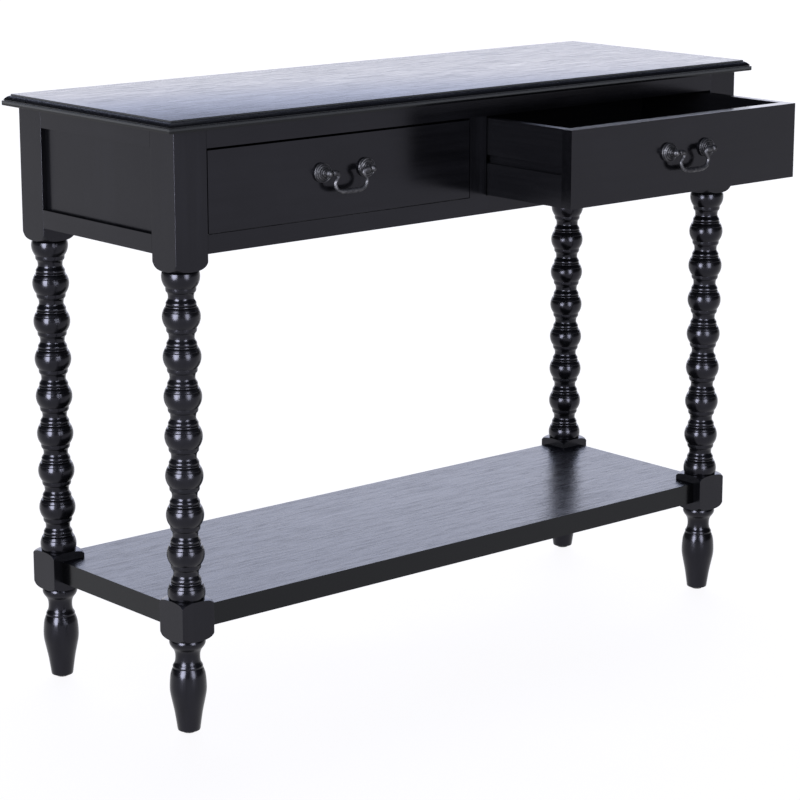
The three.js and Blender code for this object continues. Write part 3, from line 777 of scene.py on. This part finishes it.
def add_pull_screw(name, drawer, middle):
    low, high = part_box(name)
    inner_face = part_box(f"{drawer}_front")[1].y
    head = Vector((middle.x, high.y, middle.z))
    add_screw(name, drawer, head, FORWARD, (high.y - inner_face) / MM, (high.y - low.y) / MM)


def add_pull(drawer, bail_body):
    """One pull: a rosette, a post and a screw at each end, and the bail between the posts."""
    rosettes = [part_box(f"{drawer}_pull_{side}_rosette") for side in SIDES]
    middles = [(low + high) / 2 for low, high in rosettes]
    face = rosettes[0][1].y
    half_spacing = (middles[1].x - middles[0].x) / 2 / MM
    joint = next(j for j in frame["joints"] if j["child"] == bail_body)
    pivot = Vector(joint["pos_m"])
    standoff = (face - pivot.y) / MM
    ball_size = (pivot.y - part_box(f"{drawer}_pull_left_post")[0].y) / MM
    for side, middle in zip(SIDES, middles):
        centre = Vector((middle.x, face, middle.z))
        name = f"{drawer}_pull_{side}"
        add_turned(f"{name}_rosette", "ringed", rosette_profile(), centre, drawer)
        add_turned(f"{name}_post", "balled", post_profile(standoff, ball_size), centre, drawer)
        add_pull_screw(f"{name}_screw", drawer, middle)
    add_bail(f"{drawer}_pull_bail", bail_body, pivot, half_spacing)


def add_top_screw(name, block):
    """A screw up through a corner block into the top."""
    low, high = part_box(name)
    head = Vector(((low.x + high.x) / 2, (low.y + high.y) / 2, low.z))
    block_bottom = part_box(block)[0].z
    add_screw(name, "table", head, UP, (block_bottom - low.z) / MM, (high.z - low.z) / MM)


# ---- carried-over boards --------------------------------------------------------------------
# By the axis that their grain runs along.

PAINTED = {
    "X": ["front_top_rail", "front_bottom_rail", "back_panel", "left_drawer_front", "right_drawer_front"],
    "Y": [f"{side}_end_{level}_rail" for side in SIDES for level in ("top", "bottom")],
    "Z": ["centre_stile", "left_end_panel", "right_end_panel"],
}
STAINED = {
    "X": [f"{drawer}_{board}" for drawer in DRAWERS for board in ("back", "bottom")],
    "Y": ["centre_rail"]
    + [f"{drawer}_{side}_{board}" for board in ("side", "runner") for drawer in DRAWERS for side in SIDES],
    "Z": ["left_drawer_stop", "right_drawer_stop"]
    + [f"{end}_{side}_corner_block" for end in ENDS for side in SIDES],
}


def finish_board(name, material, ease):
    """Gives a CAD board its material and eases its sharp edges."""
    node = frame["nodes"][name]
    for slot in node.material_slots:
        slot.material = material
    modifier = node.modifiers.new("eased edges", "BEVEL")
    modifier.width = ease * MM
    modifier.segments = EASE_SEGMENTS
    modifier.limit_method = "ANGLE"
    modifier.angle_limit = math.radians(EASED_ABOVE_ANGLE)
    modifier.harden_normals = True


def finish_boards():
    for axis, names in PAINTED.items():
        for name in names:
            finish_board(name, PAINT[axis], DRAWER_FRONT_EASE if "drawer" in name else BOARD_EASE)
    for axis, names in STAINED.items():
        for name in names:
            finish_board(name, STAIN[axis], DRAWER_BOX_EASE)
    finish_board("shelf", GRAIN, SHELF_EASE)
    for end in ENDS:
        for side in SIDES:
            finish_board(f"{end}_{side}_glide", NYLON, GLIDE_EASE)


# ---- studio ---------------------------------------------------------------------------------


def towards(azimuth, elevation):
    """A unit vector from the table towards a viewer or a light at these angles."""
    a, e = math.radians(azimuth), math.radians(elevation)
    return Vector((math.sin(a) * math.cos(e), -math.cos(a) * math.cos(e), math.sin(e)))


def table_middle():
    low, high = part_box("shelf")
    return (low + high) / 2


def add_camera():
    middle = table_middle()
    aim = Vector((middle.x + VIEW_AIM_RIGHT * MM, middle.y, VIEW_AIM_HEIGHT * MM))
    back = towards(VIEW_AZIMUTH, VIEW_ELEVATION)
    data = bpy.data.cameras.new("camera")
    data.lens = LENS
    data.sensor_width = SENSOR_WIDTH
    camera = bpy.data.objects.new("camera", data)
    camera.location = aim + back * VIEW_DISTANCE * MM
    camera.rotation_euler = (-back).to_track_quat("-Z", "Y").to_euler()
    bpy.context.scene.collection.objects.link(camera)
    bpy.context.scene.camera = camera


def add_light(name, shape, size, place, facing, radiance, receivers):
    """A flat light of an even radiance at place, which looks along facing. Metres."""
    data = bpy.data.lights.new(name, "AREA")
    data.shape = shape
    data.size, data.size_y = size
    area = size[0] * size[1] * (math.pi / 4 if shape == "ELLIPSE" else 1)
    data.energy = radiance * math.pi * area
    data.color = LIGHT_COLOUR
    light = bpy.data.objects.new(name, data)
    light.location = place
    light.rotation_euler = facing.to_track_quat("-Z", "Y").to_euler()
    light.visible_camera = False
    light.light_linking.receiver_collection = receivers
    bpy.context.scene.collection.objects.link(light)


def add_upright_light(name, shape, azimuth, distance, size, radiance, receivers):
    """A light that stands on the floor and faces the table."""
    flat = towards(azimuth, 0)
    middle = table_middle()
    place = Vector((middle.x, middle.y, size[1] / 2)) + flat * distance
    add_light(name, shape, size, place, -flat, radiance, receivers)


def light_group(name, objects, state):
    """Objects that a light reaches (INCLUDE) or leaves out (EXCLUDE)."""
    group = bpy.data.collections.new(name)
    for item in objects:
        group.objects.link(item)
    for member in group.collection_objects:
        member.light_linking.link_state = state
    return group


def add_softbox(name, softbox, receivers):
    azimuth = VIEW_AZIMUTH + softbox["angle"]
    size = (softbox["width"], SOFTBOX_HEIGHT)
    add_upright_light(name, "ELLIPSE", azimuth, SOFTBOX_DISTANCE, size, softbox["radiance"], receivers)


def add_panels(receivers):
    """A ring of upright panels, side by side, and one over the table."""
    width = 2 * PANEL_DISTANCE * math.tan(math.radians(PANEL_STEP / 2))
    for i in range(PANEL_COUNT):
        azimuth = VIEW_AZIMUTH + PANEL_STEP * (i - (PANEL_COUNT - 1) / 2)
        upright = (azimuth, PANEL_DISTANCE, (width, PANEL_HEIGHT))
        add_upright_light(f"panel_{i}", "RECTANGLE", *upright, PANEL_RADIANCE, receivers)
    middle = table_middle()
    place = Vector((middle.x, middle.y, TOP_PANEL_HEIGHT))
    size = (TOP_PANEL_SIDE, TOP_PANEL_SIDE)
    add_light("overhead_panel", "RECTANGLE", size, place, -UP, PANEL_RADIANCE, receivers)


def add_lights(level_boards, floor):
    """Softboxes in front for all but the level boards, which have panels of their own."""
    flagged = light_group("flagged_from_softboxes", [*level_boards, floor], "EXCLUDE")
    add_softbox("left_softbox", LEFT_SOFTBOX, flagged)
    add_softbox("right_softbox", RIGHT_SOFTBOX, flagged)
    add_panels(light_group("lit_by_panels", level_boards, "INCLUDE"))


def add_world():
    """A sky that is bright beyond the table, dim overhead, dark elsewhere and white to the eye."""
    world = bpy.data.worlds.new("studio")
    world.use_nodes = True
    bpy.context.scene.world = world
    sky = Nodes(world.node_tree)
    place = sky.node("ShaderNodeTexCoord").outputs["Generated"]

    def facing(direction, edge, low, high):
        """From low to high as a direction in the sky nears the given one."""
        cosine = sky.node("ShaderNodeVectorMath", operation="DOT_PRODUCT")
        sky.feed(cosine.inputs[0], place)
        sky.feed(cosine.inputs[1], direction)
        return sky.remap(cosine.outputs["Value"], *edge, low, high)

    far = facing(towards(VIEW_AZIMUTH + 180, 0), FAR_EDGE, NEAR_RADIANCE, FAR_RADIANCE)
    zenith = facing(UP, ZENITH_EDGE, 0, ZENITH_RADIANCE)
    background = sky.tree.nodes["Background"]
    sky.feed(background.inputs["Strength"], sky.math("MAXIMUM", far, zenith))
    tint = sky.blend(facing(UP, TINT_EDGE, 0, 1), LOW_TINT, HIGH_TINT)
    sky.feed(background.inputs["Color"], tint)
    white = sky.node("ShaderNodeBackground")
    white.inputs["Color"].default_value = (1.0, 1.0, 1.0, 1.0)
    either = sky.node("ShaderNodeMixShader")
    sky.feed(either.inputs[0], sky.node("ShaderNodeLightPath").outputs["Is Camera Ray"])
    sky.feed(either.inputs[1], background.outputs[0])
    sky.feed(either.inputs[2], white.outputs[0])
    sky.feed(sky.tree.nodes["World Output"].inputs["Surface"], either.outputs[0])


def white_floor():
    """Pale matt paper that glows, so that it stays as white as the sky behind it."""
    paper = Finish("white_floor")
    mottle = paper.noise(paper.place, scale=3, detail=2)
    paper.shader.inputs["Specular IOR Level"].default_value = FLOOR_SPECULAR_LEVEL
    paper.shader.inputs["Emission Color"].default_value = FLOOR_GLOW_COLOUR
    paper.shader.inputs["Emission Strength"].default_value = FLOOR_GLOW
    colour = paper.blend(mottle, *FLOOR_COLOURS)
    roughness = paper.remap(mottle, 0, 1, 0.6, 0.8)
    grain = paper.noise(paper.place, scale=200)
    return paper.surface(colour, roughness, paper.bump(grain, microns=200))


def add_floor():
    centre = table_middle()
    centre.z = 0
    rim = []
    for i in range(FLOOR_SIDES):
        angle = 2 * math.pi * i / FLOOR_SIDES
        rim.append(centre + Vector((math.cos(angle), math.sin(angle), 0)) * FLOOR_RADIUS)
    mesh = bpy.data.meshes.new("floor")
    mesh.from_pydata(rim, [], [tuple(range(FLOOR_SIDES))])
    mesh.materials.append(white_floor())
    floor = bpy.data.objects.new("floor", mesh)
    bpy.context.scene.collection.objects.link(floor)
    return floor


# ---- the scene ------------------------------------------------------------------------------

add_camera()
add_world()

for end in ENDS:
    for side in SIDES:
        add_leg(f"{end}_{side}_leg")
        add_top_screw(f"{end}_{side}_top_screw", f"{end}_{side}_corner_block")
top = add_top()
add_pull("left_drawer", "left_bail")
add_pull("right_drawer", "right_bail")
finish_boards()
add_lights([top, frame["nodes"]["shelf"]], add_floor())
bpy.context.scene.view_settings.view_transform = "Standard"
